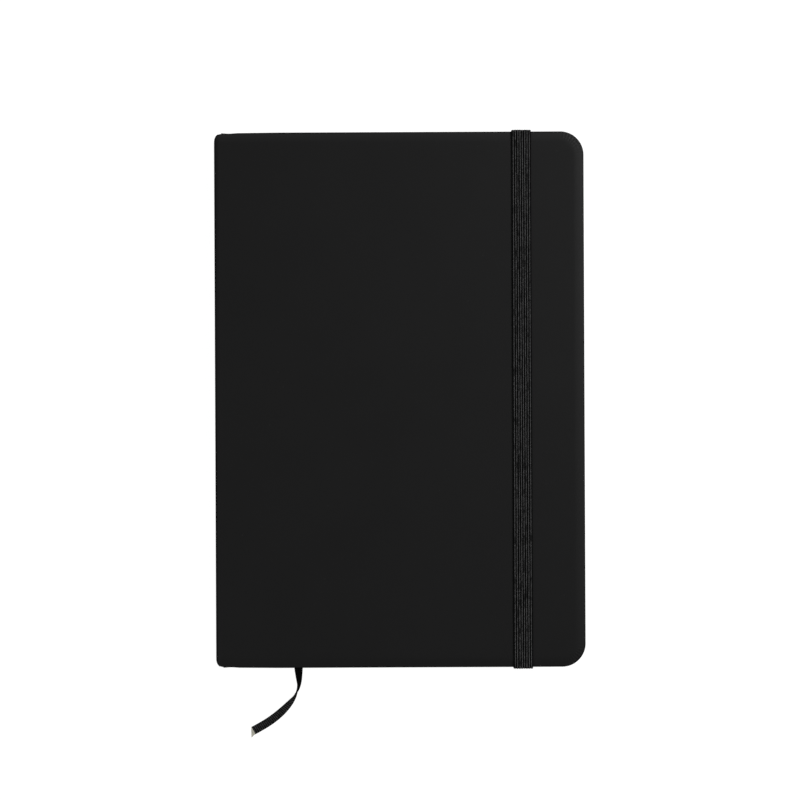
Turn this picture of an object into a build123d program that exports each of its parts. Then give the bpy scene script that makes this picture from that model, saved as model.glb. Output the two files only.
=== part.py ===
"""A hard-cover sketchbook with a ribbed elastic closure and a ribbon marker.

The book lies on its back cover. X runs from the spine to the fore-edge, Y from the tail to the
head and Z up from the back cover's outer face. The origin is under the middle of the covers.
"""

import os
from math import pi, radians, tan

from build123d import *

os.makedirs("parts", exist_ok=True)

# Driving sizes, in millimetres
cover_width = 145.0
cover_height = 210.0
fore_corner = 9.2  # radius of the covers' corners at the fore-edge
edge_round = 0.5  # radius along the covers' outer edges

covering = 0.4  # the leather-like sheet
board = 2.0
pastedown = 0.15
turn_in = 15.0  # how far the covering is folded in over the board
paste_square = 3.0  # margin of folded-in covering that the pastedown leaves bare
shoulder = 2.9  # width of the flexible shoulder beside the spine
shoulder_radius = 2.0
seam = 0.05  # half of the gap between pieces of the case that turn against each other

leaf = 0.15
leaf_gap = 0.008
sheets_per_signature = 4
signature_count = 10
signature_gap = 0.02
cover_gap = 0.05  # between a pastedown and its flyleaf
page_square = 2.0  # how far the covers stand past the pages
page_corner = 7.5
spine_room = 2.3  # from the spine's outer face to the folds
marker_gap = 0.36  # room for the ribbon between the two halves of the block

spine_card = 1.0
spine_card_gap = 0.3  # above and below the card, to the shoulders
spine_card_inset = 2.4  # from the case's ends, so that the spine's corners are rounded
spine_stack_inset = 0.2  # the spine's linings end this far inside the block
lining = 0.15
mull = 0.2
thread_radius = 0.12
thread_stations = (-84, -50, -17, 17, 50, 84)
thread_spread = 1.5  # half the distance between a station's two threads
bead_radius = 0.62
tape_length = 10.5

band_width = 7.2
band_thick = 0.65
band_from_fore_edge = 24.5
band_lift = 0.03  # between the strap and the front cover
band_bend = 0.8  # centre-line radius where the band turns over an edge
strap_end = 0.6  # the strap's straight run stops this far inside the covers' ends
leg_end = 1.0  # each leg reaches this far inside the back cover's ends
slit_from_end = 10.35
anchor_length = 12.6
band_play = 0.4  # width of a slot less the band's own

ribbon_width = 3.0
ribbon_thick = 0.25
ribbon_from_spine = 31.9
ribbon_head_x = -67.3
ribbon_tube = 0.6  # radius of the solid that stands for the loose end

# Places that follow from them
half_width = cover_width / 2
half_height = cover_height / 2
cover_thick = covering + board + pastedown
signature_thick = 2 * sheets_per_signature * leaf
signature_pitch = signature_thick + signature_gap
half_count = signature_count // 2
flyleaf_low = cover_thick + cover_gap
block_low = flyleaf_low + pastedown + signature_gap
middle = block_low + half_count * signature_pitch - signature_gap + marker_gap / 2
thickness = 2 * middle
block_spine = -half_width + spine_room
page_fore = half_width - page_square
page_half_height = half_height - page_square
case_spine = -half_width + shoulder + seam
band_x = half_width - band_from_fore_edge
ribbon_x = -half_width + ribbon_from_spine


def plate(spine_side, inset, corner):
    """A plate's outline from spine_side to the fore-edge, drawn in the sketch that is open."""
    fore_side = half_width - inset
    with Locations(((spine_side + fore_side) / 2, 0)):
        Rectangle(fore_side - spine_side, 2 * (half_height - inset))
    fillet(vertices().group_by(Axis.X)[-1], corner)


def upright(z, high):
    """The plane of a cover's outer face, with its normal pointing into the cover."""
    return Plane((0, 0, z), x_dir=(1, 0, 0), z_dir=(0, 0, -1 if high else 1))


def cut_band_room():
    """Cuts the two shallow channels, slits and inner recesses that hold the band's ends."""
    room = band_width + band_play
    channel = band_thick + 0.1
    slit = band_thick + 0.25
    slit_y = half_height - slit_from_end
    inner = slit_y - anchor_length - 0.5
    for end in (1, -1):
        with Locations((band_x, end * (half_height + slit_y) / 2, channel / 2)):
            Box(room, half_height - slit_y, channel, mode=Mode.SUBTRACT)
        with Locations((band_x, end * half_height, 0)):
            Box(room, 2 * strap_end, 2.5, mode=Mode.SUBTRACT)
        with Locations((band_x, end * slit_y, (covering + board) / 2)):
            Box(room, slit, covering + board, mode=Mode.SUBTRACT)
        with Locations((band_x, end * (slit_y + slit / 2 + inner) / 2, covering + board)):
            Box(room, slit_y + slit / 2 - inner, 2 * (band_thick + 0.05), mode=Mode.SUBTRACT)


# The two covers: a board, the covering folded round it on three sides, and a pastedown
for side in ("back", "front"):
    is_front = side == "front"
    face = upright(thickness if is_front else 0, is_front)

    with BuildPart() as cover_covering:
        with BuildSketch(face):
            plate(case_spine, 0, fore_corner)
        extrude(amount=covering + board)
        outer_edges = edges().group_by(Axis.Z)[-1 if is_front else 0]
        fillet(outer_edges.filter_by(lambda e: e.center().X > case_spine + 0.01), edge_round)
        with BuildSketch(face.offset(covering)):
            plate(case_spine - 1, covering, fore_corner - covering)
        extrude(amount=board - covering, mode=Mode.SUBTRACT)
        with BuildSketch(face.offset(board)):
            plate(case_spine - 1, turn_in, 1)
        extrude(amount=covering, mode=Mode.SUBTRACT)
        if not is_front:
            cut_band_room()
    cover_covering.part.label = f"{side}_covering"
    export_step(cover_covering.part, f"parts/{side}_covering.step")

    with BuildPart() as cover_board:
        with BuildSketch(face.offset(covering)):
            plate(case_spine, covering, fore_corner - covering)
        extrude(amount=board - covering)
        with BuildSketch(face.offset(board)):
            plate(case_spine, turn_in, 1)
        extrude(amount=covering)
        if not is_front:
            cut_band_room()
    cover_board.part.label = f"{side}_board"
    export_step(cover_board.part, f"parts/{side}_board.step")

    with BuildPart() as cover_pastedown:
        with BuildSketch(face.offset(covering + board)):
            plate(case_spine, paste_square, fore_corner - paste_square)
        extrude(amount=pastedown)
    cover_pastedown.part.label = f"{side}_pastedown"
    export_step(cover_pastedown.part, f"parts/{side}_pastedown.step")

    with BuildPart() as flyleaf:
        with BuildSketch(face.offset(flyleaf_low)):
            plate(block_spine, page_square, page_corner)
        extrude(amount=pastedown)
    flyleaf.part.label = f"{side}_flyleaf"
    export_step(flyleaf.part, f"parts/{side}_flyleaf.step")

    # The covering goes round the shoulder to the spine and bends there
    with BuildPart() as cover_shoulder:
        with BuildSketch(Plane.XZ):
            flip = -1 if is_front else 1
            outside = thickness if is_front else 0
            inside = outside + flip * covering
            turn_x = -half_width + shoulder_radius
            turn_z = outside + flip * shoulder_radius
            last_x = -half_width + shoulder - seam
            with BuildLine():
                outer = TangentArc((turn_x, outside), (-half_width, turn_z), tangent=(-1, 0))
                Line(outer @ 1, (-half_width + covering, turn_z))
                TangentArc(
                    (turn_x, inside), (-half_width + covering, turn_z), tangent=(-1, 0)
                )
                Polyline((turn_x, inside), (last_x, inside), (last_x, outside), outer @ 0)
            make_face()
        extrude(amount=half_height, both=True)
    cover_shoulder.part.label = f"{side}_shoulder"
    export_step(cover_shoulder.part, f"parts/{side}_shoulder.step")

# The spine: its covering folded over a thin card at both ends, and the linings on the block
spine_low = shoulder_radius + 3 * seam
spine_x = -half_width + covering
card_low = shoulder_radius + spine_card_gap
card_height = cover_height - 2 * spine_card_inset
stack_low = block_low + spine_stack_inset - signature_gap


def spine_strip(x, thick, length, low):
    """A strip on the spine from x inwards, centred on the block, in the part that is open."""
    with Locations((x + thick / 2, 0, middle)):
        Box(thick, length, 2 * (middle - low))


with BuildPart() as spine_covering:
    spine_strip(-half_width, covering + spine_card, cover_height, spine_low)
    with Locations((spine_x + spine_card / 2, 0, middle)):
        Box(spine_card, card_height, thickness, mode=Mode.SUBTRACT)
spine_covering.part.label = "spine_covering"
export_step(spine_covering.part, "parts/spine_covering.step")

with BuildPart() as card:
    spine_strip(spine_x, spine_card, card_height, card_low)
card.part.label = "spine_card"
export_step(card.part, "parts/spine_card.step")

lining_x = spine_x + spine_card + 2 * seam
with BuildPart() as spine_lining:
    spine_strip(lining_x, lining, 202, stack_low)
spine_lining.part.label = "spine_lining"
export_step(spine_lining.part, "parts/spine_lining.step")

mull_x = lining_x + lining + signature_gap
with BuildPart() as mull_strip:
    spine_strip(mull_x, mull, 184, stack_low)
mull_strip.part.label = "mull"
export_step(mull_strip.part, "parts/mull.step")

thread_x = mull_x + mull + signature_gap + thread_radius
thread_places = [
    (thread_x, station + way * thread_spread) for station in thread_stations for way in (-1, 1)
]
with BuildPart() as sewing_thread:
    with BuildSketch(Plane.XY.offset(stack_low)):
        with Locations(*thread_places):
            Circle(thread_radius)
    extrude(amount=2 * (middle - stack_low))
sewing_thread.part.label = "sewing_thread"
export_step(sewing_thread.part, "parts/sewing_thread.step")

tape_x = mull_x + mull + signature_gap
bead_x = tape_x + bead_radius
bead_y = page_half_height + bead_radius + 0.1
for name, end in (("head_band", 1), ("tail_band", -1)):
    with BuildPart() as end_band:
        with BuildSketch(Plane.XY.offset(stack_low)):
            with Locations((bead_x, end * bead_y)):
                Circle(bead_radius)
            with Locations((tape_x + lining / 2, end * (bead_y - tape_length / 2))):
                Rectangle(lining, tape_length)
        extrude(amount=2 * (middle - stack_low))
    end_band.part.label = name
    export_step(end_band.part, f"parts/{name}.step")

# The page block: folded sheets nested in signatures, numbered from the front
for number in range(1, signature_count + 1):
    if number > half_count:
        low = block_low + (signature_count - number) * signature_pitch
    else:
        low = middle + marker_gap / 2 + (half_count - number) * signature_pitch
    with BuildPart() as signature:
        with BuildSketch(Plane.XZ):
            for sheet in range(sheets_per_signature):
                bottom = low + sheet * leaf
                top = low + signature_thick - sheet * leaf
                fold = block_spine + sheet * leaf
                paper = leaf - leaf_gap
                with BuildLine():
                    Polyline(
                        (page_fore, bottom),
                        (fold, bottom),
                        (fold, top),
                        (page_fore, top),
                        (page_fore, top - paper),
                        (fold + paper, top - paper),
                        (fold + paper, bottom + paper),
                        (page_fore, bottom + paper),
                        close=True,
                    )
                make_face()
        extrude(amount=page_half_height, both=True)
        fillet(edges().filter_by(Axis.Z).group_by(Axis.X)[-1], page_corner)
    signature.part.label = f"signature_{number:02d}"
    export_step(signature.part, f"parts/signature_{number:02d}.step")

# The elastic closure: a strap over the front cover, a leg round each end of the book, and the
# ends that pass through the back cover and are glued under its pastedown
strap_z = thickness + band_lift + band_thick / 2
leg_y = half_height + band_lift + band_thick / 2
foot_z = band_lift + 0.02 + band_thick / 2
slit_y = half_height - slit_from_end
anchor_z = covering + board - band_thick / 2 - 0.005

with BuildPart() as elastic_strap:
    with Locations((band_x, 0, strap_z)):
        Box(band_width, 2 * (half_height - strap_end), band_thick)
    fillet(edges().filter_by(Axis.Y), band_thick / 4)
elastic_strap.part.label = "elastic_strap"
export_step(elastic_strap.part, "parts/elastic_strap.step")

for name, end in (("head", 1), ("tail", -1)):
    with BuildPart() as band_leg:
        with BuildSketch(Plane.YZ.offset(band_x)):
            with BuildLine():
                FilletPolyline(
                    (end * (half_height - strap_end), strap_z),
                    (end * leg_y, strap_z),
                    (end * leg_y, foot_z),
                    (end * (half_height - leg_end), foot_z),
                    radius=band_bend,
                )
            trace(line_width=band_thick)
        extrude(amount=band_width / 2, both=True)
    band_leg.part.label = f"band_{name}_leg"
    export_step(band_leg.part, f"parts/band_{name}_leg.step")

    with BuildPart() as band_end:
        with BuildSketch(Plane.YZ.offset(band_x)):
            with BuildLine():
                FilletPolyline(
                    (end * (half_height - leg_end), foot_z),
                    (end * slit_y, foot_z),
                    (end * slit_y, anchor_z),
                    (end * (slit_y - anchor_length), anchor_z),
                    radius=0.5,
                )
            trace(line_width=band_thick)
        extrude(amount=band_width / 2, both=True)
    band_end.part.label = f"band_{name}_end"
    export_step(band_end.part, f"parts/band_{name}_end.step")

# The ribbon: glued to the spine at the head, laid through the middle of the block, loose below
with BuildPart() as ribbon_anchor:
    with Locations((mull_x + mull / 2, 98.5, middle)):
        Box(mull, 12, ribbon_width)
ribbon_anchor.part.label = "ribbon_anchor"
export_step(ribbon_anchor.part, "parts/ribbon_anchor.step")

with BuildPart() as ribbon_marker:
    with BuildSketch(Plane.XY.offset(middle - marker_gap / 2 + 0.03)):
        with BuildLine():
            Polyline(
                (ribbon_head_x - ribbon_width / 2, page_half_height),
                (ribbon_head_x + ribbon_width / 2, page_half_height),
                (ribbon_x + ribbon_width / 2, -page_half_height),
                (ribbon_x - ribbon_width / 2, -page_half_height),
                close=True,
            )
        make_face()
    extrude(amount=ribbon_thick)
ribbon_marker.part.label = "ribbon_marker"
export_step(ribbon_marker.part, "parts/ribbon_marker.step")

ribbon_route = [
    (ribbon_x, -page_half_height - 0.05, middle),
    (-40.5, -107.0, 8.85),
    (-40.5, -111.4, 6.9),
    (-41.2, -115.7, 3.4),
    (-43.3, -119.6, 1.5),
    (-46.4, -123.2, 0.95),
    (-50.2, -126.6, ribbon_tube + 0.02),
    (-54.7, -129.7, ribbon_tube),
    (-59.6, -132.3, ribbon_tube),
]
runs = [Vector(b) - Vector(a) for a, b in zip(ribbon_route, ribbon_route[1:])]
turns = [a.get_angle(b) for a, b in zip(runs, runs[1:])]
bends = [
    0.45 * min(a.length, b.length) / tan(radians(turn / 2))
    for a, b, turn in zip(runs, runs[1:], turns)
]
print("ribbon runs", [round(run.length, 2) for run in runs])
print("ribbon turns", [round(turn, 1) for turn in turns])
print("ribbon bend radii", [round(bend, 1) for bend in bends])
with BuildPart() as ribbon_tail:
    with BuildLine() as ribbon_path:
        FilletPolyline(*ribbon_route, radius=bends)
    with BuildSketch(Plane(ribbon_route[0], z_dir=runs[0])):
        Circle(ribbon_tube)
    sweep()
ribbon_tail.part.label = "ribbon_tail"
export_step(ribbon_tail.part, "parts/ribbon_tail.step")
ribbon_length = sum(edge.length for edge in ribbon_path.edges())
print("ribbon length", round(ribbon_length, 2))
print("section times length", round(pi * ribbon_tube**2 * ribbon_length, 3))
print("ribbon volume", round(ribbon_tail.part.volume, 3))
print("thickness", round(thickness, 3), "middle", round(middle, 3))
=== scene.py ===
"""The looks of a hard-cover sketchbook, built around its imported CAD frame.

Lengths are in metres and in the frame's axes: X runs from the spine to the fore-edge, Y from the
tail to the head, and Z up from the back cover's outer face.
"""

import math
import random

import bmesh
import bpy
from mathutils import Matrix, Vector


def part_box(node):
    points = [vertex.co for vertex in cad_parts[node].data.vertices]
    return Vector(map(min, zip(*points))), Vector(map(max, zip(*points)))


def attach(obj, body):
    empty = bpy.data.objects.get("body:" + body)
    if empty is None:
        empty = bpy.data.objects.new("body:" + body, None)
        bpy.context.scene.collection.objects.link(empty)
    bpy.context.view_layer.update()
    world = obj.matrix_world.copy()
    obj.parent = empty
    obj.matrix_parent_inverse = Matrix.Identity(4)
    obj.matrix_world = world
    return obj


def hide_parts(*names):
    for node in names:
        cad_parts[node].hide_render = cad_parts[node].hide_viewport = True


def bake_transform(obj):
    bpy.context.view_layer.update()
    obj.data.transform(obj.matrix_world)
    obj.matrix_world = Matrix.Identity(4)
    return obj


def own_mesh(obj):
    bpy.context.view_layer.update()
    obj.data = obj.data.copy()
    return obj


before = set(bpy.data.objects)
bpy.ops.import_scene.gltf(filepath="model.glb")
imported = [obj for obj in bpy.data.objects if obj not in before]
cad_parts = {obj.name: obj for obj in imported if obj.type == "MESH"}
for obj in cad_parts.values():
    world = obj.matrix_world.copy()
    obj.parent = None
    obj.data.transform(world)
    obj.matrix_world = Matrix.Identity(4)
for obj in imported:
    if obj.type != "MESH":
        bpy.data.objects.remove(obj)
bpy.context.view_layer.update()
draw = random.Random(7)

mm = 0.001

# Places read from the frame
front_low, front_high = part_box("front_covering")
fore_x = front_high.x
end_y = front_high.y
top_z = front_high.z
case_x = front_low.x
spine_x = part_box("spine_covering")[0].x
card_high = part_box("spine_card")[1]
strap_low, strap_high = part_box("elastic_strap")
band_x = (strap_low.x + strap_high.x) / 2
band_width = strap_high.x - strap_low.x
band_thick = strap_high.z - strap_low.z
strap_z = (strap_low.z + strap_high.z) / 2

# Sizes of the case's covering
covering = 0.4 * mm
cover_depth = top_z - front_low.z
fore_corner = 9.2 * mm
turn_in = 15 * mm
flat_inset = 14 * mm  # where the modelled edge of a cover ends and its flat middle starts
board_gap = 0.02 * mm  # between a board's edge and its covering
fold_thick = 0.35 * mm  # the folded-in layer where there is no board
shoulder_radius = 2.0 * mm
shoulder_x = spine_x + shoulder_radius
edge_radius = 0.75 * mm
inner_radius = 0.5 * mm
edge_fall = 0.34 * mm  # how far the outer face falls towards its edges
fall_width = 4.2 * mm
fall_power = 1.6
spine_corner_x = 3.0 * mm  # how far the case's spine corners are rounded, seen from above
spine_corner_y = 3.6 * mm
low_edge = 0.14 * mm  # how much lower the head and tail edges are near the spine
low_edge_x = -56 * mm
notch_x = -66.6 * mm  # where they dip most, beside the boards' spine side
notch_depth = 0.2 * mm
notch_reach = 4 * mm
near_spine_step = 0.6 * mm  # how finely the ends are modelled beside the spine
near_spine_steps = 12

# The covering's small gathers round a corner
pleats = 10
pleat_steps = 60
pleat_rise = 0.1 * mm
pleat_ripple = 1.25 * mm
pleat_middle = 1.6 * mm  # where the outer face is gathered most, from its edge
pleat_reach = 2.6 * mm
side_pleat = 0.08 * mm
turned_pleat = 0.12 * mm
turned_pleat_middle = 3 * mm
turned_pleat_reach = 5 * mm

# The camera looks straight down on the book, turned a quarter of a degree
view_width = 313.4 * mm
camera_turn = -0.25
camera_data = bpy.data.cameras.new("camera")
camera_data.sensor_width = 36
camera_data.lens = 100
camera = bpy.data.objects.new("camera", camera_data)
camera_height = view_width * camera_data.lens / camera_data.sensor_width
camera.location = (0.1 * mm, -0.1 * mm, top_z + camera_height)
camera.rotation_euler = (0, 0, math.radians(camera_turn))
bpy.context.scene.collection.objects.link(camera)
bpy.context.scene.camera = camera


# Mesh helpers


def arc(start, stop, steps):
    """Angles from start to stop degrees, in radians, both included."""
    return [math.radians(start + (stop - start) * i / steps) for i in range(steps + 1)]


def spread(start, stop, steps):
    """Even values from start to stop, both included."""
    return [start + (stop - start) * i / steps for i in range(steps + 1)]


def ease(t):
    """A smooth step from 0 to 1."""
    t = min(1.0, max(0.0, t))
    return t * t * (3 - 2 * t)


def bell(t):
    """1 at t = 0, falling smoothly to 0 at t = 1 and t = -1."""
    return ease(1 - abs(t))


def add_piece(name, points, faces, material, sharp=40):
    """A closed mesh object with its normals outwards, smooth up to an angle in degrees."""
    mesh = bpy.data.meshes.new(name)
    mesh.from_pydata([tuple(p) for p in points], [], faces)
    shape = bmesh.new()
    shape.from_mesh(mesh)
    bmesh.ops.recalc_face_normals(shape, faces=shape.faces)
    shape.to_mesh(mesh)
    shape.free()
    mesh.shade_smooth()
    mesh.set_sharp_from_angle(angle=math.radians(sharp))
    mesh.materials.append(material)
    piece = bpy.data.objects.new(name, mesh)
    bpy.context.scene.collection.objects.link(piece)
    return piece


def store(piece, name, values):
    """Keeps one number for each point of a piece, for its material."""
    attribute = piece.data.attributes.new(name, "FLOAT", "POINT")
    attribute.data.foreach_set("value", values)


def join_rings(rings, closed=True):
    """Points and faces of a skin through rings with equal numbers of points, capped at its ends."""
    count = len(rings[0])
    points = [p for ring in rings for p in ring]
    faces = []
    for i in range(len(rings) - 1):
        for j in range(count if closed else count - 1):
            k = (j + 1) % count
            a, b = i * count, (i + 1) * count
            faces.append((a + j, a + k, b + k, b + j))
    last = (len(rings) - 1) * count
    faces.append(tuple(range(count)))
    faces.append(tuple(range(last, last + count)))
    return points, faces


def finish_piece(piece, bodies, replaced=()):
    """Rides a piece on a named body, else bakes its place; hides the nodes that it stands for."""
    if isinstance(bodies, str):
        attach(piece, bodies)
    else:
        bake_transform(piece)
    if replaced:
        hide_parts(*replaced)
    return piece


# Materials


class Material:
    """A Principled material with short calls for the nodes that drive it."""

    def __init__(self, name, roughness=0.6, specular=0.5, sheen=0.0, colour=None):
        self.data = bpy.data.materials.new(name)
        self.data.use_nodes = True
        self.nodes, self.links = self.data.node_tree.nodes, self.data.node_tree.links
        self.shader = self.nodes["Principled BSDF"]
        self.shader.inputs["Roughness"].default_value = roughness
        self.shader.inputs["Specular IOR Level"].default_value = specular
        self.shader.inputs["Sheen Weight"].default_value = sheen
        if colour:
            self.shader.inputs["Base Color"].default_value = (*colour, 1)

    def add(self, kind, values=None, **settings):
        """A node with its settings, and its sockets linked or set by name or number."""
        node = self.nodes.new(kind)
        for key, value in settings.items():
            setattr(node, key, value)
        for key, value in (values or {}).items():
            if isinstance(value, bpy.types.NodeSocket):
                self.links.new(value, node.inputs[key])
            else:
                node.inputs[key].default_value = value
        return node

    def places(self):
        """The piece's own coordinates, in metres."""
        return self.add("ShaderNodeTexCoord").outputs["Object"]

    def scaled(self, vector, scale):
        """A vector with its parts multiplied."""
        values = {0: vector, 1: scale}
        return self.add("ShaderNodeVectorMath", values, operation="MULTIPLY").outputs[0]

    def attribute(self, name):
        """A number stored on the piece's points."""
        return self.add("ShaderNodeAttribute", attribute_name=name).outputs["Fac"]

    def noise(self, vector, scale, detail=3.0, rough=0.55):
        """A cloudy value from 0 to 1."""
        values = {"Vector": vector, "Scale": scale, "Detail": detail, "Roughness": rough}
        return self.add("ShaderNodeTexNoise", values).outputs["Fac"]

    def cells(self, vector, scale):
        """The distance to the nearest of many scattered points, in cells."""
        return self.add("ShaderNodeTexVoronoi", {"Vector": vector, "Scale": scale}).outputs[0]

    def math(self, operation, *values):
        """A sum, product or function of numbers."""
        node = self.add("ShaderNodeMath", dict(enumerate(values)), operation=operation)
        return node.outputs[0]

    def between(self, value, low, high, out_low=0.0, out_high=1.0):
        """A value mapped from one range to another, and held inside it."""
        values = {0: value, 1: low, 2: high, 3: out_low, 4: out_high}
        return self.add("ShaderNodeMapRange", values).outputs[0]

    def blend(self, share, first, second):
        """A colour between two others."""
        node = self.add("ShaderNodeMix", {0: share}, data_type="RGBA")
        for socket, value in ((6, first), (7, second)):
            if isinstance(value, bpy.types.NodeSocket):
                self.links.new(value, node.inputs[socket])
            else:
                node.inputs[socket].default_value = (*value, 1)
        return node.outputs[2]

    def wear(self, colour=None, roughness=None, height=None, depth=0.00002):
        """Links the colour, the roughness and the height of the surface's relief."""
        if colour is not None:
            self.links.new(colour, self.shader.inputs["Base Color"])
        if roughness is not None:
            self.links.new(roughness, self.shader.inputs["Roughness"])
        if height is not None:
            bump = self.add("ShaderNodeBump", {"Height": height, "Distance": depth, "Strength": 1})
            self.links.new(bump.outputs[0], self.shader.inputs["Normal"])
        return self.data


def leather_like():
    """Smooth black imitation leather with a very fine grain and a few specks of dust, with a
    painted highlight that makes it a little paler by the head edge."""
    m = Material("covering_black", specular=0.145)
    place = m.places()
    grain = m.cells(place, 3600)
    cloud = m.noise(place, 900, 2)
    height = m.math("ADD", m.math("MULTIPLY", grain, 0.5), cloud)
    shade = m.noise(place, 35, 4)
    base = m.blend(m.between(shade, 0.3, 0.7), (0.0031, 0.0031, 0.0032), (0.0036, 0.0036, 0.0037))
    # painted highlight: the colour turns paler over the last few millimetres towards the head edge
    along_y = m.add("ShaderNodeSeparateXYZ", {0: place}).outputs[1]
    head_edge_highlight = m.between(along_y, end_y - 4 * mm, end_y - 1 * mm)
    base = m.blend(head_edge_highlight, base, (0.0068, 0.0068, 0.0069))
    speck = m.math("LESS_THAN", m.cells(place, 120), 0.022)
    colour = m.blend(m.math("MULTIPLY", speck, 0.4), base, (0.03, 0.03, 0.03))
    rough = m.between(m.noise(place, 60, 3), 0.3, 0.7, 0.5, 0.54)
    return m.wear(colour, rough, height, 0.000012)


def cardboard():
    """Grey-brown pressed board with short fibres."""
    m = Material("board_grey", roughness=0.85, specular=0.2)
    place = m.places()
    fibre = m.noise(m.scaled(place, (900, 2600, 6000)), 1.0, 4)
    fleck = m.between(m.noise(place, 1400, 2), 0.6, 0.72)
    base = m.blend(m.between(fibre, 0.3, 0.7), (0.36, 0.32, 0.27), (0.47, 0.43, 0.36))
    return m.wear(m.blend(fleck, base, (0.26, 0.23, 0.2)), height=fibre, depth=0.00004)


def paper(name, light, dark, tooth=0.000012):
    """Uncoated paper with a fine tooth and faint fibres."""
    m = Material(name, roughness=0.8, specular=0.25)
    place = m.places()
    fibre = m.noise(place, 2200, 5, 0.65)
    cloud = m.noise(m.scaled(place, (40, 40, 5200)), 1.0, 3)
    share = m.math("ADD", m.math("MULTIPLY", fibre, 0.5), m.math("MULTIPLY", cloud, 0.5))
    return m.wear(m.blend(m.between(share, 0.3, 0.7), dark, light), height=fibre, depth=tooth)


def woven(name, dark, light, threads, roughness=0.75, sheen=0.2, one_face_shaded=False):
    """A weave with crosswise ribs on stored coordinates, with so many ribs a metre. Its colour is
    painted lighter on the ribs' crowns as highlight and darker between them as shade.
    """
    m = Material(name, roughness=roughness, specular=0.04, sheen=sheen)
    along = m.math("MULTIPLY", m.attribute("along"), threads * math.pi)
    across = m.math("MULTIPLY", m.attribute("across"), threads * math.pi)
    rib = m.math("ABSOLUTE", m.math("SINE", along))
    warp = m.between(m.math("ABSOLUTE", m.math("SINE", across)), 0, 1, 0.7, 1.0)
    rib_relief_and_highlight = m.math("MULTIPLY", m.math("POWER", rib, 4.0), warp)
    place = m.places()
    fluff = m.noise(place, 1100, 3)
    # One face keeps few ribs and little of their painted highlight: it is painted dark, as shade.
    if one_face_shaded:
        rib_relief_and_highlight = m.math("MULTIPLY", rib_relief_and_highlight, m.attribute("ribbed_and_lit"))
    # painted highlight on the ribs' crowns and painted shade between them, varied by the fluff's
    # real tone
    share = m.math("MULTIPLY", rib_relief_and_highlight, m.between(fluff, 0.3, 0.7, 0.25, 1.2))
    return m.wear(m.blend(share, dark, light), height=rib_relief_and_highlight, depth=0.00003)


def elastic_yarn():
    """Black cords under lengthwise yarn, with a painted highlight on each crown in short stitches
    and painted shade, near black, between the cords; here and there the painted highlight dims for
    a few millimetres."""
    m = Material("elastic_black", roughness=0.8, specular=0.04)
    crown, rib, along = m.attribute("crown"), m.attribute("rib"), m.attribute("along")
    levels = []
    for step, pace in ((3.7, 900), (5.3, 170)):
        values = {0: m.math("MULTIPLY", rib, step), 1: m.math("MULTIPLY", along, pace)}
        place = m.add("ShaderNodeCombineXYZ", values).outputs[0]
        levels.append(m.noise(place, 1.0, 2))
    stitch = m.between(levels[0], 0.35, 0.65, 0.5, 1.0)
    dimmed_highlight = m.between(levels[1], 0.34, 0.46, 0.35, 1.0)
    # painted highlight on each cord's crown, broken into stitches and dimmed in places; the
    # near-black colour below is painted shade between the cords
    lit = m.math("MULTIPLY", m.math("POWER", crown, 20.0), m.math("MULTIPLY", stitch, dimmed_highlight))
    base = m.blend(lit, (0.0004, 0.0004, 0.0004), (0.09, 0.09, 0.091))
    strand = m.noise(m.places(), 3200, 3)
    return m.wear(base, height=strand, depth=0.00005)


def spun(name, dark, light):
    """Plain cotton or gauze with a loose grid of threads, on the piece's own coordinates."""
    m = Material(name, roughness=0.85, specular=0.2)
    place = m.places()
    parts = m.add("ShaderNodeSeparateXYZ", {0: place}).outputs
    lines = [m.math("SINE", m.math("MULTIPLY", part, 5200)) for part in (parts[1], parts[2])]
    grid = m.math("MAXIMUM", *lines)
    share = m.between(grid, -0.2, 0.9)
    return m.wear(m.blend(share, dark, light), height=grid, depth=0.00005)


covering_black = leather_like()
board_grey = cardboard()
page_cream = paper("page_cream", (0.88, 0.84, 0.73), (0.82, 0.78, 0.67))
endpaper_cream = paper("endpaper_cream", (0.86, 0.82, 0.72), (0.81, 0.77, 0.67), 0.000008)
lining_brown = paper("lining_brown", (0.56, 0.44, 0.31), (0.42, 0.32, 0.22))
elastic_black = elastic_yarn()
ribbon_threads = 1250
ribbon_black = woven(
    "ribbon_black",
    (0.0003, 0.0003, 0.0003),
    (0.05, 0.05, 0.0505),
    ribbon_threads,
    roughness=0.8,
    sheen=0,
    one_face_shaded=True,
)
tip_cream = woven(
    "ribbon_tip_cream", (0.32, 0.315, 0.265), (0.5, 0.49, 0.415), ribbon_threads, roughness=0.7
)
headband_black = woven("headband_black", (0.012, 0.012, 0.012), (0.05, 0.05, 0.05), 3000)
gauze_cream = spun("gauze_cream", (0.4, 0.38, 0.33), (0.8, 0.78, 0.7))
thread_white = spun("thread_white", (0.6, 0.58, 0.53), (0.86, 0.84, 0.78))


# The ribbon's loose end: a flat ribbon that turns over once between the pages and the table

ribbon_width = 3.4 * mm
ribbon_thick = 0.22 * mm
ribbon_rib = 0.8 * mm
ribbon_step = ribbon_rib / 6
turn_at = 14.6 * mm  # how far along it stands on edge
turn_before = 12 * mm
turn_after = 11 * mm
tip_length = 0.6 * mm
tip_past = 1.4 * mm  # how far the frayed tip hangs past the route's end
tip_hang = Vector((-0.7, -0.71, 0))
tip_narrowing = 1.9  # how much of its half width the tip loses on one side
ribbon_columns = (-1, -0.96, -0.88, -0.6, -0.3, 0, 0.3, 0.6, 0.88, 0.96, 1)
ribbon_start = 6 * mm  # how long it takes to leave the pages flat
rib_middle = 0.78  # a rib's thickness, as a share of the ribbon's
rib_wave = 0.22
twist_swell = 1.9
twist_power = 8
selvage = 1.15
selvage_from = 0.85  # where the thicker edge starts, as a share of the half width
selvage_end = 0.4
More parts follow.
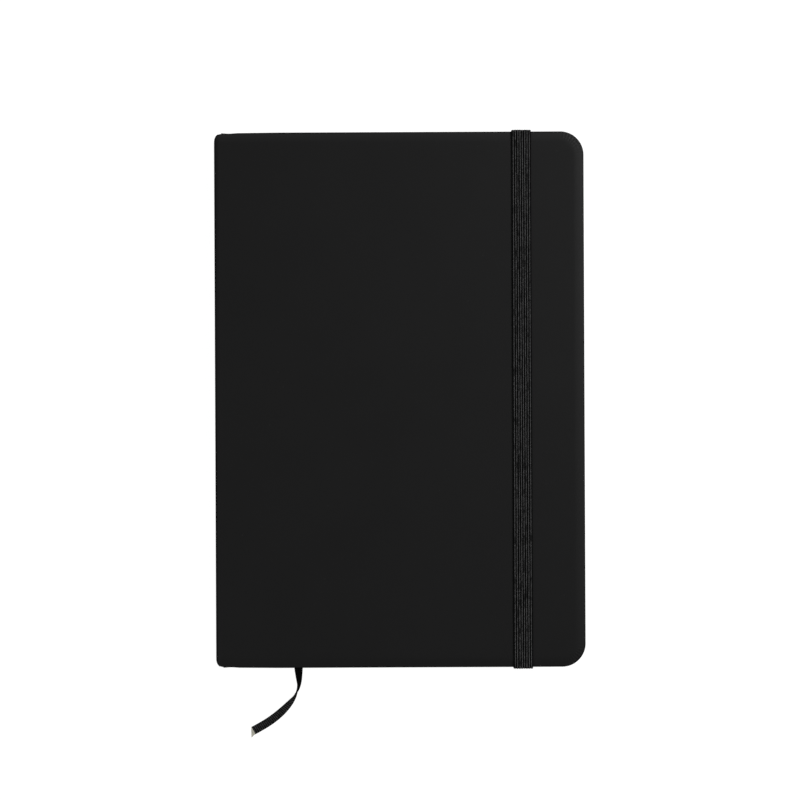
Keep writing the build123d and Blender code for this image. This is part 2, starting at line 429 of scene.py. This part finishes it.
# how much rib and painted highlight each face keeps: the upper face's low share paints it dark as
# shade
smooth_shaded_face = 0.1
ribbed_lit_face = 1.0
ribbon_route = [
    (-40.6, -103.05, 9.03),
    (-40.5, -107.0, 8.85),
    (-40.5, -111.4, 6.9),
    (-41.2, -115.7, 3.4),
    (-43.3, -119.6, 1.5),
    (-46.4, -123.2, 0.95),
    (-50.2, -126.6, 0.55),
    (-54.7, -129.7, 0.34),
    (-59.6, -132.3, 0.2),
]


def smooth_line(route):
    """Points along the smooth curve that a route in millimetres controls."""
    curve = bpy.data.curves.new("route", "CURVE")
    curve.dimensions = "3D"
    spline = curve.splines.new("NURBS")
    spline.points.add(len(route) - 1)
    for point, place in zip(spline.points, route):
        point.co = (*(v * mm for v in place), 1)
    spline.order_u = 3
    spline.use_endpoint_u = True
    spline.resolution_u = 24
    holder = bpy.data.objects.new("route", curve)
    mesh = bpy.data.meshes.new_from_object(holder)
    line = [v.co.copy() for v in mesh.vertices]
    bpy.data.objects.remove(holder)
    bpy.data.meshes.remove(mesh)
    bpy.data.curves.remove(curve)
    return line


def walk(line, step):
    """Places and directions along a line, about a step apart, with the distance of each."""
    lengths = [0.0]
    for a, b in zip(line, line[1:]):
        lengths.append(lengths[-1] + (b - a).length)
    stops, i = [], 0
    count = round(lengths[-1] / step)
    for k in range(count + 1):
        at = lengths[-1] * k / count
        while i < len(line) - 2 and lengths[i + 1] < at:
            i += 1
        share = (at - lengths[i]) / (lengths[i + 1] - lengths[i])
        before, after = line[max(0, i - 1)], line[min(len(line) - 1, i + 2)]
        stops.append((line[i].lerp(line[i + 1], share), (after - before).normalized(), at))
    return stops


def ribbon_turn(at):
    """The ribbon's turn about its own line, in radians, at a distance along it."""
    reach = turn_before if at < turn_at else turn_after
    turned = math.pi / 2 * (1 + math.tanh((at - turn_at) / reach))
    return turned * ease(at / ribbon_start)


def ribbon_rings(stops, turn, columns_at):
    """Closed rings round a flat ribbon with crosswise ribs and thicker edges, which swells where it
    stands twisted, and each point's places along and across it and how much rib and painted
    highlight its face keeps."""
    rings, along, across, faces = [], [], [], []
    for place, ahead, at in stops:
        flat = ahead.cross(Vector((0, 0, 1))).normalized()
        up = flat.cross(ahead)
        angle = turn(at)
        side = flat * math.cos(angle) - up * math.sin(angle)
        normal = up * math.cos(angle) + flat * math.sin(angle)
        rib = rib_middle + rib_wave * math.sin(2 * math.pi * at / ribbon_rib)
        rib += twist_swell * math.sin(angle) ** twist_power
        ring = []
        columns = columns_at(at)
        for way, row in ((1, columns), (-1, columns[::-1])):
            for u in row:
                edge = selvage if abs(u) > selvage_from else rib
                high = ribbon_thick / 2 * (edge if abs(u) < 0.99 else selvage_end)
                ring.append(place + side * (u * ribbon_width / 2) + normal * (way * high))
                along.append(at)
                across.append(u * ribbon_width / 2)
                # the face that starts upwards keeps few ribs and is painted dark, as shade
                faces.append(smooth_shaded_face if way > 0 else ribbed_lit_face)
        rings.append(ring)
    return rings, along, across, faces


def ribbon_piece(name, stops, turn, material, columns_at=lambda at: ribbon_columns):
    """A piece of ribbon along stops. Its face that starts upwards is the smooth one, painted dark
    as shade.
    """
    rings, along, across, faces = ribbon_rings(stops, turn, columns_at)
    piece = add_piece(name, *join_rings(rings), material, sharp=60)
    store(piece, "along", along)
    store(piece, "across", across)
    store(piece, "ribbed_and_lit", faces)
    return piece


ribbon_line = smooth_line(ribbon_route)
ribbon_stops = walk(ribbon_line, ribbon_step)
ribbon_length = ribbon_stops[-1][2]
tip_start = ribbon_length - tip_length


def tip_columns(at):
    """Where the columns lie on the frayed tip, which narrows to its lower corner."""
    first = -1 + tip_narrowing * (at - tip_start) / (tip_length + tip_past)
    return [first + (u + 1) / 2 * (1 - first) for u in ribbon_columns]


ribbon_loose = ribbon_piece(
    "ribbon_loose_end",
    [stop for stop in ribbon_stops if stop[2] <= tip_start + ribbon_step / 2],
    ribbon_turn,
    ribbon_black,
)
finish_piece(ribbon_loose, "signature_06", ["ribbon_tail"])
tip_stops = [stop for stop in ribbon_stops if stop[2] >= tip_start - ribbon_step / 2]
end_place, end_ahead, end_at = ribbon_stops[-1]
tip_stops += [
    (end_place + tip_hang * past, end_ahead, end_at + past) for past in spread(0, tip_past, 8)[1:]
]
ribbon_tip = ribbon_piece("ribbon_tip", tip_stops, ribbon_turn, tip_cream, tip_columns)
finish_piece(ribbon_tip, "signature_06")

# The ribbon inside the book, from the head of the spine to the tail of the middle pages
marker_low, marker_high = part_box("ribbon_marker")
marker_z = (marker_low.z + marker_high.z) / 2
marker_ends = [
    Vector((marker_low.x + ribbon_width / 2, marker_high.y, marker_z)),
    Vector((marker_high.x - ribbon_width / 2, marker_low.y, marker_z)),
]
marker_stops = walk(marker_ends, 2 * ribbon_step)
marker = ribbon_piece("ribbon_inside", marker_stops, lambda at: 0, ribbon_black)
finish_piece(marker, "signature_06", ["ribbon_marker"])


# The case's covering


def fall(inset):
    """How far the outer face lies below its middle, at a distance from its edge."""
    reach = (fall_width - inset) / (fall_width - edge_radius)
    return edge_fall * max(0.0, min(1.0, reach)) ** fall_power


def notch(x):
    """How far the head and tail edges dip at a place along them."""
    dip = notch_depth * bell((x - notch_x) / notch_reach)
    return dip + low_edge * ease((low_edge_x - x) / (3 * mm))


def outline(inset, spine_inset=0.0):
    """Places round three sides of a cover, from the spine at the head to the spine at the tail,
    each with how far it is round a corner, from 0 to 1."""
    radius = max(1 * mm, fore_corner - inset)
    corner_x, corner_y = fore_x - inset - radius, end_y - inset - radius
    near = [case_x + spine_inset + near_spine_step * i for i in range(near_spine_steps)]
    run = near + spread(near[-1], corner_x, 8)[1:]
    head = [(x, end_y - inset - notch(x), 0) for x in run]
    corner = [
        (corner_x + radius * math.sin(a), corner_y + radius * math.cos(a), a / (math.pi / 2))
        for a in arc(0, 90, pleat_steps)
    ][1:]
    half = head + corner + [(fore_x - inset, y, 0) for y in spread(corner_y, 0, 6)[1:]]
    return half + [(x, -y, turned) for x, y, turned in half[-2::-1]]


def cover_profile():
    """The covering's section at a cover's edge, as insets and depths from the outer face."""
    section = [(inset, 0) for inset in (flat_inset, 9 * mm, 6 * mm)]
    section += [(inset, fall(inset)) for inset in spread(fall_width, edge_radius, 14)]
    section += [
        (edge_radius * (1 - math.sin(a)), edge_fall + edge_radius * (1 - math.cos(a)))
        for a in arc(0, 90, 8)
    ][1:]
    low = cover_depth - inner_radius
    section += [
        (inner_radius * (1 - math.cos(a)), low + inner_radius * math.sin(a))
        for a in arc(0, 90, 6)
    ]
    section += [(inset, cover_depth) for inset in (1.5 * mm, 3 * mm, 6 * mm, turn_in)]
    board_top, board_side = covering + board_gap / 2, covering + board_gap
    section += [(turn_in, cover_depth - covering), (board_side, cover_depth - covering)]
    section += [(board_side, 1.5 * mm), (0.55 * mm, 1.1 * mm)]
    section += [(inset, fall(inset) + covering) for inset in (0.95 * mm, 1.6 * mm, 2.6 * mm)]
    return section + [(fall_width, board_top), (flat_inset, board_top)]


def pleated(inset, depth, turned):
    """The inset and depth of a point with the corner's small gathers of covering."""
    if not 0 < turned < 1:
        return inset, depth
    share = math.sin(math.pi * turned) ** 0.5
    fold = math.sin(math.pi * pleats * turned) ** 2
    if depth < edge_fall + edge_radius:
        ripple = 0.5 + 0.5 * math.cos(2 * math.pi * inset / pleat_ripple)
        near = bell((inset - pleat_middle) / pleat_reach)
        return inset, depth + pleat_rise * share * near * (0.4 * fold + 0.6 * fold * ripple)
    if depth < cover_depth - inner_radius:
        return inset + side_pleat * share * fold, depth
    if depth >= cover_depth - 0.01 * mm and inset < turn_in - mm:
        near = bell((inset - turned_pleat_middle) / turned_pleat_reach)
        return inset, depth - turned_pleat * share * fold * near
    return inset, depth


def close_spine_side(loops):
    """Points and faces of a shell through loops that are open on the spine's side."""
    points, faces = join_rings(loops, closed=False)
    count, rows = len(loops[0]), len(loops)
    near = [i * count for i in range(rows)]
    far = [i * count + count - 1 for i in reversed(range(rows))]
    faces.append(tuple(near + far))
    return points, faces


def cover_skin(name, is_front):
    """One cover's covering: its outer face, rounded edges and the turned-in margin inside."""
    loops = []
    for inset, depth in cover_profile():
        loop = []
        for x, y, turned in outline(inset):
            in_now, depth_now = pleated(inset, depth, turned)
            angle = math.pi / 2 * turned
            x -= (in_now - inset) * math.sin(angle)
            y -= math.copysign((in_now - inset) * math.cos(angle), y)
            loop.append((x, y, top_z - depth_now if is_front else depth_now))
        loops.append(loop)
    return add_piece(name, *close_spine_side(loops), covering_black, sharp=50)


def board_piece(name, is_front):
    """A cover's cardboard with its edges worn round under the covering."""
    high, low = covering + board_gap, cover_depth - covering - board_gap
    worn, edge = 0.45 * mm, covering + 0.4 * mm
    profile = [
        (flat_inset, high),
        (edge + 3 * mm, high),
        (edge + 2 * worn, high + 0.2 * mm),
        (edge, high + 2.2 * worn),
        (edge, low - worn),
        (edge + worn, low),
        (flat_inset, low),
    ]
    loops = [
        [(x, y, top_z - depth if is_front else depth) for x, y, _ in outline(inset, 0.3 * mm)]
        for inset, depth in profile
    ]
    return add_piece(name, *close_spine_side(loops), board_grey)


def recess(x, turn, depth):
    """How far the case's end lies in from its edge, at a depth under a place on the outer face
    where the covering has turned by an angle from the cover's face towards the spine."""
    from_spine = x + math.sin(turn) * depth - spine_x
    sideways = min(1.0, max(0.0, 1 - from_spine / spine_corner_x))
    straight = shoulder_radius - edge_fall - edge_radius
    rise = (shoulder_radius - depth) * math.cos(turn) - straight
    upwards = min(1.0, max(0.0, rise) / edge_radius)
    in_plan = spine_corner_y * (1 - math.sqrt(1 - sideways**2))
    return in_plan + edge_radius * (1 - math.sqrt(1 - upwards**2))


def end_ring(x, turn, total, folded, pocket=None):
    """The covering's lengthwise section as places along Y and depths, a closed ring. Its ends are
    rounded over total and folded in that far; a pocket holds a card up to its end and depth."""
    end = end_y - notch(x)
    start = edge_fall * math.cos(turn)
    inset = recess(x, turn, start)
    half = [(y, 0) for y in spread(0, end - fall_width - 2 * mm, 6)]
    for s in spread(fall_width, inset, 5):
        half.append((end - s, start * ((fall_width - s) / (fall_width - inset)) ** fall_power))
    low = total - fold_round
    for a in arc(0, 90, 10)[1:]:
        depth = start + (low - start) * (1 - math.cos(a))
        half.append((end - recess(x, turn, depth), depth))
    last = half[-1][0]
    half += [
        (last - fold_round * (1 - math.cos(a)), low + fold_round * math.sin(a))
        for a in arc(0, 90, 4)[1:]
    ]
    half += [(end - folded, total)]
    if pocket:
        pocket_y, pocket_depth = pocket
        half += [(end - folded, pocket_depth), (pocket_y, pocket_depth), (pocket_y, covering)]
    else:
        half += [(end - folded - 0.5 * mm, covering)]
    half += [(0, covering)]
    return half + [(-y, depth) for y, depth in half[-2:0:-1]]


def bent_skin(name, section, rings):
    """A sheet along a section in XZ, with its lengthwise ring at each station."""
    made = []
    for (x, z, normal_x, normal_z), ring in zip(section, rings):
        made.append([(x - normal_x * depth, y, z - normal_z * depth) for y, depth in ring])
    return add_piece(name, *join_rings(made), covering_black, sharp=50)


hinge_steps = 8
shoulder_steps = 24
fold_round = 0.3 * mm
spine_fold = 3.8 * mm
joint_thick = covering + fold_thick
spine_thick = card_high.x - spine_x + fold_thick


def shoulder_section(is_front):
    """The quarter turn from a cover's face to the spine, as places and normals."""
    flip = 1 if is_front else -1
    centre_z = top_z - shoulder_radius if is_front else shoulder_radius
    return [
        (
            shoulder_x + shoulder_radius * math.cos(a),
            centre_z + flip * shoulder_radius * math.sin(a),
            math.cos(a),
            flip * math.sin(a),
        )
        for a in arc(90, 180, shoulder_steps)
    ]


def shoulder_rings():
    """The shoulder's rings, whose ends get rounder and thicker towards the spine."""
    rings = []
    for x, _, normal_x, _ in shoulder_section(True):
        turn = math.asin(min(1.0, -normal_x))
        share = ease(turn / (math.pi / 2))
        total = joint_thick + (spine_thick - joint_thick) * share
        rings.append(end_ring(x, turn, total, turn_in + (spine_fold - turn_in) * share))
    return rings


def hinge_rings(section):
    """The rings of the flat strip between a shoulder and a cover."""
    return [end_ring(x, 0, joint_thick, turn_in) for x, *_ in section]


front_skin = cover_skin("front_cover_skin", True)
finish_piece(front_skin, "front_cover", ["front_covering"])
front_board = board_piece("front_board_card", True)
finish_piece(front_board, "front_cover", ["front_board"])

hinge_section = [(x, top_z, 0, 1) for x in spread(shoulder_x, case_x, hinge_steps)]
front_hinge = bent_skin("front_hinge_skin", hinge_section, hinge_rings(hinge_section))
bend = ("front_joint", "front_cover", (shoulder_x, 0, top_z), (case_x, 0, top_z))
finish_piece(front_hinge, bend)

front_shoulder = bent_skin("front_shoulder_skin", shoulder_section(True), shoulder_rings())
bend = ("spine", "front_joint", (spine_x, 0, top_z - shoulder_radius), (shoulder_x, 0, top_z))
finish_piece(front_shoulder, bend, ["front_shoulder"])

pocket = (card_high.y + board_gap, card_high.x - spine_x + board_gap)
spine_ring = end_ring(spine_x, math.pi / 2, spine_thick, spine_fold, pocket)
spine_heights = spread(shoulder_radius, top_z - shoulder_radius, 8)
spine_section = [(spine_x, z, -1, 0) for z in spine_heights]
spine_skin = bent_skin("spine_skin", spine_section, [spine_ring] * len(spine_section))
finish_piece(spine_skin, "spine", ["spine_covering"])

back_shoulder = bent_skin("back_shoulder_skin", shoulder_section(False), shoulder_rings())
bend = ("back_cover", "spine", (shoulder_x, 0, 0), (spine_x, 0, shoulder_radius))
finish_piece(back_shoulder, bend, ["back_shoulder"])

back_hinge_section = [(x, 0, 0, -1) for x in spread(shoulder_x, case_x, hinge_steps)]
back_hinge = bent_skin("back_hinge_skin", back_hinge_section, hinge_rings(back_hinge_section))
finish_piece(back_hinge, "back_cover")


# The back cover's covering has a shallow channel and a slit for each end of the elastic

leg_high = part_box("band_head_leg")[1]
foot_low, foot_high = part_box("band_head_end")
foot_z = foot_low.z + band_thick / 2
anchor_z = foot_high.z - band_thick / 2
slit_y = end_y - 10.35 * mm
anchor_y = foot_low.y
channel_width = band_width + 0.4 * mm
channel_depth = 0.75 * mm
slit_width = 0.9 * mm
mouth_length = 0.6 * mm  # the channel is deeper where the band goes round the cover's end
mouth_depth = 1.25 * mm


def box_cutter(name, low, high):
    """A plain box for cutting."""
    corners = [
        (x, y, z) for x in (low[0], high[0]) for y in (low[1], high[1]) for z in (low[2], high[2])
    ]
    faces = [(0, 1, 3, 2), (4, 6, 7, 5), (0, 4, 5, 1), (2, 3, 7, 6), (0, 2, 6, 4), (1, 5, 7, 3)]
    return add_piece(name, corners, faces, covering_black)


def cut(piece, cutters):
    """Cuts shapes out of a piece."""
    for cutter in cutters:
        modifier = piece.modifiers.new("cut", "BOOLEAN")
        modifier.operation = "DIFFERENCE"
        modifier.solver = "EXACT"
        modifier.object = cutter
    bpy.context.view_layer.update()
    evaluated = piece.evaluated_get(bpy.context.evaluated_depsgraph_get())
    mesh = bpy.data.meshes.new_from_object(evaluated)
    piece.modifiers.clear()
    piece.data = mesh
    for cutter in cutters:
        bpy.data.objects.remove(cutter)


def band_cutters():
    """Boxes for the channels, slits and inner recesses of the band's two ends, each a little wider
    than the one before, so that no faces coincide."""
    made = []
    for way in (1, -1):
        runs = [
            (slit_y, end_y + mm, -mm, channel_depth),
            (slit_y - slit_width / 2, slit_y + slit_width / 2, -2 * mm, cover_depth + 2 * mm),
            (end_y - mouth_length, end_y + 2 * mm, -3 * mm, mouth_depth),
            (anchor_y - 0.3 * mm, slit_y + 0.1 * mm, foot_high.z - band_thick - 0.05 * mm, 5 * mm),
        ]
        for i, (near, far, low, high) in enumerate(runs):
            near, far = sorted((way * near, way * far))
            half = channel_width / 2 + i * 0.01 * mm
            corner, other = (band_x - half, near, low), (band_x + half, far, high)
            made.append(box_cutter("cutter", corner, other))
    return made


back_skin = cover_skin("back_cover_skin", False)
cut(back_skin, band_cutters())
finish_piece(back_skin, "back_cover", ["back_covering"])
back_board = board_piece("back_board_card", False)
cut(back_board, band_cutters())
finish_piece(back_board, "back_cover", ["back_board"])


# The elastic band: eight cords side by side under black yarn

rib_count = 8
rib_steps = 6
cord_sways = ((0.04 * mm, 5.3 * mm), (0.015 * mm, 1.1 * mm))  # each one's reach and pace
outer_sway = 0.2  # how much of it the two outer cords keep
cord_swell = 0.1
cord_swell_pace = 2.2 * mm
groove = 0.25  # the band's thickness between cords, as a share
band_step = 0.6 * mm
# how far the two outermost points reach past the band: a near-black rim that is painted contact
# shadow on the cover
band_shadow_rim = 0.22 * mm
band_bend = 0.8 * mm
slit_bend = 0.5 * mm
rib_phases = [[draw.uniform(0, 2 * math.pi) for _ in range(4)] for _ in range(rib_count)]


def bent_path(corners, radius=0.0):
    """A path in YZ through corners, with its bends rounded, in steps of about the band's step."""
    path = [Vector(corners[0])]
    for before, corner, after in zip(corners, corners[1:], corners[2:]):
        before, corner, after = Vector(before), Vector(corner), Vector(after)
        come, go = (corner - before).normalized(), (after - corner).normalized()
        centre = corner + (go - come) * radius
        for a in arc(0, 90, 8):
            path.append(centre - go * radius * math.cos(a) + come * radius * math.sin(a))
    path.append(Vector(corners[-1]))
    fine = [path[0]]
    for a, b in zip(path, path[1:]):
        parts = max(1, round((b - a).length / band_step))
        fine += [a.lerp(b, (i + 1) / parts) for i in range(parts)]
    return fine


def band_outline(at):
    """Places across the band and half-thicknesses, with how high each is on its cord, and which
    cord that is."""
    pitch = band_width / rib_count
    row = []
    for rib, phases in enumerate(rib_phases):
        sway = 0.0
        for (reach, pace), phase in zip(cord_sways, phases):
            sway += reach * math.sin(at / pace + phase)
        if rib in (0, rib_count - 1):
            sway *= outer_sway
        swell = 1 - cord_swell + cord_swell * math.sin(at / cord_swell_pace + phases[2])
        for step in range(rib_steps):
            u = -1 + 2 * (step + 0.5) / rib_steps
            crown = math.sqrt(1 - u * u)
            across = (rib + 0.5 + u / 2) * pitch - band_width / 2 + sway * crown
            # the outermost points reach out into a near-black rim, painted contact shadow beside
            # the band
            if rib_steps * rib + step in (0, rib_steps * rib_count - 1):
                across += math.copysign(band_shadow_rim, across)
            high = band_thick / 2 * swell * (groove + (1 - groove) * crown)
            row.append((across, high, crown, rib))
    return row


def band_piece(name, path, start=0.0):
    """A stretch of the band along a path in YZ."""
    rings, along, ribs, crowns = [], [], [], []
    at = start
    for i, place in enumerate(path):
        ahead = (path[min(i + 1, len(path) - 1)] - path[max(i - 1, 0)]).normalized()
        if i:
            at += (place - path[i - 1]).length
        row = band_outline(at)
        ring = []
        for way, half in ((1, row), (-1, row[::-1])):
            for x, high, crown, rib in half:
                y, z = place + Vector((-ahead.y, ahead.x)) * (way * high)
                ring.append((band_x + x, y, z))
                along.append(at)
                ribs.append(rib)
                crowns.append(crown)
        rings.append(ring)
    piece = add_piece(name, *join_rings(rings), elastic_black, sharp=80)
    store(piece, "along", along)
    store(piece, "rib", ribs)
    store(piece, "crown", crowns)
    return piece


leg_y = leg_high.y - band_thick / 2
strap_path = bent_path([(strap_low.y, strap_z), (strap_high.y, strap_z)])
strap = band_piece("elastic_over_cover", strap_path)
finish_piece(strap, "elastic_strap", ["elastic_strap"])
strap_length = strap_high.y - strap_low.y
for name, way in (("head", 1), ("tail", -1)):
    round_end = [
        (way * strap_high.y, strap_z),
        (way * leg_y, strap_z),
        (way * leg_y, foot_z),
        (way * foot_high.y, foot_z),
    ]
    leg = band_piece(f"elastic_{name}_leg", bent_path(round_end, band_bend), strap_length)
    finish_piece(leg, "back_cover", [f"band_{name}_leg"])
    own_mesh(leg)
    into_cover = [
        (way * foot_high.y, foot_z),
        (way * slit_y, foot_z),
        (way * slit_y, anchor_z),
        (way * anchor_y, anchor_z),
    ]
    foot = band_piece(f"elastic_{name}_end", bent_path(into_cover, slit_bend), 1.1 * strap_length)
    finish_piece(foot, "back_cover", [f"band_{name}_end"])


# The pages: folded sheets nested four to a signature, each cut a little unevenly

signature_count = 10
sheets_per_signature = 4
leaf = 0.15 * mm
leaf_gap = 0.008 * mm
page_corner = 7.5 * mm
page_worn = 0.04 * mm  # how far a sheet is thinner along its fore-edge
edge_thin = 0.7
fore_uneven = 0.09
end_uneven = 0.07
fold_radius = 0.42 * mm
page_columns = (-1, -0.999, -0.5, 0, 0.5, 0.999, 1)


def hairpin(fold_x, bottom, top, edge_x):
    """Stations along a folded sheet's middle, from the lower fore-edge round the fold to the upper
    one: places, normals towards the outside of the fold, and whether they are at an edge."""
    radius = min(fold_radius, (top - bottom) / 2)
    corner_x = edge_x - page_corner
    run = [edge_x, edge_x - page_worn]
    run += [corner_x + page_corner * math.sin(a) for a in reversed(arc(0, 85, 10))]
    run += [0, fold_x + radius + 3 * mm]
    stations = [(x, bottom, 0, -1, i == 0) for i, x in enumerate(run)]
    for centre_z, start in ((bottom + radius, 270), (top - radius, 180)):
        for a in arc(start, start - 90, 5):
            x = fold_x + radius + radius * math.cos(a)
            z = centre_z + radius * math.sin(a)
            stations.append((x, z, math.cos(a), math.sin(a), False))
    return stations + [(x, top, 0, 1, i == 0) for i, x in reversed(list(enumerate(run)))]


def sheet_points(stations, edge_x, half_y, thick):
    """The two faces of a folded sheet as rows of points."""
    sides = ([], [])
    corner_x = edge_x - page_corner
    for x, z, normal_x, normal_z, at_edge in stations:
        inside = max(0.0, x - corner_x)
        reach = half_y - page_corner + math.sqrt(max(0.0, page_corner**2 - inside**2))
        for side, way in zip(sides, (1, -1)):
            for t in page_columns:
                thin = edge_thin if at_edge or abs(t) == 1 else 1
                half = way * thick / 2 * thin
                side.append((x + normal_x * half, t * reach, z + normal_z * half))
    return sides


def slab(rows, columns, first):
    """Faces that join two equal grids of points into one closed sheet."""
    size = rows * columns
    faces = []
    for i in range(rows - 1):
        for j in range(columns - 1):
            a = first + i * columns + j
            quad = (a, a + 1, a + columns + 1, a + columns)
            faces.append(quad)
            faces.append(tuple(v + size for v in reversed(quad)))
    rim = list(range(columns))
    rim += [i * columns + columns - 1 for i in range(1, rows)]
    rim += [(rows - 1) * columns + j for j in reversed(range(columns - 1))]
    rim += [i * columns for i in reversed(range(1, rows - 1))]
    for a, b in zip(rim, rim[1:] + rim[:1]):
        faces.append((first + a, first + b, first + b + size, first + a + size))
    return faces


def signature_piece(node):
    """One signature: its folded sheets inside one another, each cut a little unevenly."""
    low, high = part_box(node)
    points, faces = [], []
    for nest in range(sheets_per_signature):
        bottom = low.z + nest * leaf + leaf / 2 - leaf_gap / 2
        top = high.z - nest * leaf - leaf / 2 + leaf_gap / 2
        edge_x = high.x - draw.uniform(0, fore_uneven) * mm
        half_y = high.y - draw.uniform(0, end_uneven) * mm
        fold_x = low.x + nest * leaf + leaf / 2
        stations = hairpin(fold_x, bottom, top, edge_x)
        sides = sheet_points(stations, edge_x, half_y, leaf - leaf_gap)
        faces += slab(len(stations), len(page_columns), len(points))
        points += sides[0] + sides[1]
    return add_piece(f"{node}_sheets", points, faces, page_cream, sharp=50)


for number in range(1, signature_count + 1):
    node = f"signature_{number:02d}"
    body = "back_cover" if number == signature_count else node
    finish_piece(signature_piece(node), body, [node])


# The endpapers' folds at the joints. By the front joint the paper is split: one part goes from the
# first leaf up into the joint, the other from the pastedown up along the board's edge

joint_paper = 0.12 * mm
paste_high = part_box("front_pastedown")[1]
fly_low, fly_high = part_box("front_flyleaf")


def paper_strip(name, places, across=(0, 1)):
    """A narrow strip of endpaper as long as the cover's lining, through places in X and Z. Its
    thickness lies across those places, as shares along X and Z."""
    half_x, half_z = (joint_paper / 2 * part for part in across)
    half_y = paste_high.y
    rings = []
    for x, z in places:
        lower = [(x - half_x, y, z - half_z) for y in (-half_y, half_y)]
        upper = [(x + half_x, y, z + half_z) for y in (half_y, -half_y)]
        rings.append(lower + upper)
    return add_piece(name, *join_rings(rings), endpaper_cream)


joint_inner_z = top_z - joint_thick - 0.06 * mm
hinge_paper_z = fly_high.z + 0.04 * mm
leaf_fold_x = fly_low.x - joint_paper
board_edge_x = case_x - joint_paper
for name, body, x in (
    ("front_flyleaf_fold", "front_joint", leaf_fold_x),
    ("front_pastedown_fold", "front_cover", board_edge_x),
):
    heights = spread(hinge_paper_z, joint_inner_z, 6)
    strip = paper_strip(name, [(x, z) for z in heights], (1, 0))
    finish_piece(strip, body)
back_paste_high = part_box("back_pastedown")[1]
back_fly_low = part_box("back_flyleaf")[0]
back_fold_x = back_fly_low.x - 0.1 * mm
back_fold_z = back_fly_low.z - joint_paper / 2
back_drop = back_paste_high.z - joint_paper / 2 - back_fold_z
back_paper = paper_strip(
    "back_endpaper_fold",
    [
        (back_fold_x + (case_x - back_fold_x) * share, back_fold_z + back_drop * ease(share))
        for share in spread(0, 1, 8)
    ],
)
finish_piece(back_paper, "back_cover")


# The head and tail bands: a cord wound with thread, on a narrow tape

bead_radius = 0.62 * mm
bead_wind = 0.42 * mm
bead_hollow = 0.12  # how much thinner it is between two turns of its thread
tape_thick = 0.15 * mm
tape_length = 10.5 * mm


def bead_piece(name, centre_x, centre_y, heights):
    """The cord, with its thread wound slantwise round it."""
    rings, along, across = [], [], []
    for z in heights:
        ring = []
        for a in arc(0, 345, 23):
            wound = 0.5 + 0.5 * math.sin(2 * math.pi * z / bead_wind + a)
            radius = bead_radius * (1 - bead_hollow + bead_hollow * wound)
            ring.append((centre_x + radius * math.cos(a), centre_y + radius * math.sin(a), z))
            along.append(z)
            across.append(a * bead_radius)
        rings.append(ring)
    bead = add_piece(name, *join_rings(rings), headband_black, sharp=70)
    store(bead, "along", along)
    store(bead, "across", across)
    return bead


for name, way in (("head_band", 1), ("tail_band", -1)):
    low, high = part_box(name)
    centre_y = high.y - bead_radius if way > 0 else low.y + bead_radius
    heights = spread(low.z, high.z, round((high.z - low.z) / (bead_wind / 4)))
    bead = bead_piece(f"{name}_cord", low.x + bead_radius, centre_y, heights)
    finish_piece(bead, "spine", [name])
    far = centre_y - way * tape_length
    rings = [
        [(x, centre_y, low.z), (x, far, low.z), (x, far, high.z), (x, centre_y, high.z)]
        for x in (low.x, low.x + tape_thick)
    ]
    tape = add_piece(f"{name}_tape", *join_rings(rings), gauze_cream)
    finish_piece(tape, "spine")


# The frame's own parts that show get their materials

own_materials = {
    "spine_card": board_grey,
    "front_pastedown": endpaper_cream,
    "back_pastedown": endpaper_cream,
    "front_flyleaf": endpaper_cream,
    "back_flyleaf": endpaper_cream,
    "spine_lining": lining_brown,
    "mull": gauze_cream,
    "sewing_thread": thread_white,
    "ribbon_anchor": ribbon_black,
}
for node, material in own_materials.items():
    for material_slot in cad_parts[node].material_slots:
        material_slot.material = material


# Floor, surrounding light and lamps

floor_reach = 60.0
floor_drop = 0.02 * mm  # under the book, so that no faces coincide
light_from, light_full = -0.03, -0.015  # a direction's Z where it starts and is full


def floor():
    """A white light table under the book."""
    m = Material("floor_white", roughness=0.9, specular=0.1, colour=(0.14, 0.14, 0.14))
    m.shader.inputs["Emission Color"].default_value = (1, 1, 1, 1)
    m.shader.inputs["Emission Strength"].default_value = 0.95
    points = [
        (x * floor_reach, y * floor_reach, 0) for x, y in ((-1, -1), (1, -1), (1, 1), (-1, 1))
    ]
    mesh = bpy.data.meshes.new("floor")
    mesh.from_pydata(points, [], [(0, 1, 2, 3)])
    mesh.materials.append(m.data)
    piece = bpy.data.objects.new("floor", mesh)
    piece.location.z = -floor_drop
    piece.visible_glossy = False
    bpy.context.scene.collection.objects.link(piece)


def surroundings(strength):
    """An even white light from above, and none from below. It changes a little under the horizon,
    where the table hides it."""
    world = bpy.data.worlds.new("world")
    world.use_nodes = True
    nodes, links = world.node_tree.nodes, world.node_tree.links
    height = nodes.new("ShaderNodeSeparateXYZ")
    above = nodes.new("ShaderNodeMapRange")
    above.inputs["From Min"].default_value = light_from
    above.inputs["From Max"].default_value = light_full
    above.inputs["To Max"].default_value = strength
    links.new(nodes.new("ShaderNodeTexCoord").outputs["Generated"], height.inputs[0])
    links.new(height.outputs["Z"], above.inputs["Value"])
    background = nodes["Background"]
    background.inputs["Color"].default_value = (1, 1, 1, 1)
    links.new(above.outputs[0], background.inputs["Strength"])
    bpy.context.scene.world = world


def lamp(name, place, size, power):
    """A square soft lamp that points at the middle of the book."""
    light = bpy.data.lights.new(name, "AREA")
    light.shape = "SQUARE"
    light.size = size
    light.energy = power
    piece = bpy.data.objects.new(name, light)
    piece.location = place
    piece.rotation_euler = (-Vector(place)).to_track_quat("-Z", "Y").to_euler()
    bpy.context.scene.collection.objects.link(piece)


floor()
surroundings(0.42)
bpy.context.scene.view_settings.view_transform = "Standard"
lamp("key", (0.95, 0.55, 1.15), size=0.6, power=20)
lamp("fill", (-0.7, -0.3, 0.7), size=0.7, power=1.5)
